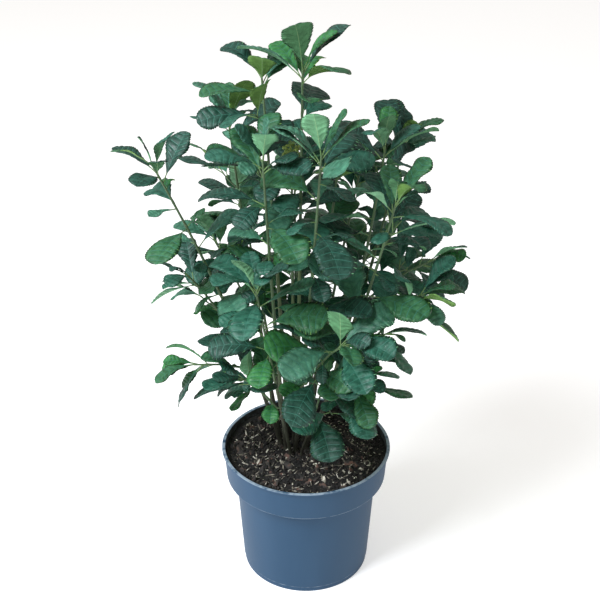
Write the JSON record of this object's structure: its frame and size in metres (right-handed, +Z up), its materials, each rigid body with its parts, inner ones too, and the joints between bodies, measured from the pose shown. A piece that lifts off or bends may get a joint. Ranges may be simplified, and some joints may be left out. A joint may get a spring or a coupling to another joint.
{
  "type": "potted serviceberry",
  "caption": "Multi-stemmed serviceberry shrub with dark oval leaves, standing in a round blue-grey nursery pot filled with bark compost.",
  "frame": {"origin": "middle of the flat underside of the pot, on the surface that it stands on", "axes": "+Z up along the pot's axis; -Y towards the side that the picture shows; +X to the right in that view"},
  "size_m": [0.434, 0.3698, 0.7533],
  "materials": {
    "pot_plastic": "moulded blue-grey polypropylene with a faint sheen",
    "compost": "dark moist compost with light bark chips",
    "bark": "smooth young bark, grey-brown at the foot and olive higher up",
    "foliage": "dark green leaves with a soft sheen and paler undersides"
  },
  "bodies": {
    "root": {"pot": "pot_plastic", "soil": "compost", "front_stem": "bark", "front_left_stem": "bark", "right_front_stem": "bark", "left_arm_stem": "bark", "low_front_left_stem": "bark", "low_front_stem": "bark", "right_stem": "bark", "top_stem": "bark", "left_top_stem": "bark", "left_back_stem": "bark", "right_top_stem": "bark", "bud_left_stem": "bark", "bud_right_stem": "bark", "right_dark_stem": "bark", "back_stem": "bark", "back_left_stem": "bark", "back_right_stem": "bark", "front_leaves": "foliage", "front_left_leaves": "foliage", "right_front_leaves": "foliage", "left_arm_leaves": "foliage", "low_front_left_leaves": "foliage", "low_front_leaves": "foliage", "right_leaves": "foliage", "top_leaves": "foliage", "left_top_leaves": "foliage", "left_back_leaves": "foliage", "right_top_leaves": "foliage", "bud_left_leaves": "foliage", "bud_right_leaves": "foliage", "right_dark_leaves": "foliage", "back_leaves": "foliage", "back_left_leaves": "foliage", "back_right_leaves": "foliage", "left_low_leaves": "foliage", "right_low_leaves": "foliage", "centre_front_leaves": "foliage", "left_side_leaves": "foliage", "left_foot_leaves": "foliage", "right_side_leaves": "foliage", "right_foot_leaves": "foliage", "left_middle_leaves": "foliage", "left_inner_leaves": "foliage", "right_inner_leaves": "foliage", "back_foot_leaves": "foliage", "back_side_leaves": "foliage", "back_low_leaves": "foliage"}
  },
  "joints": []
}
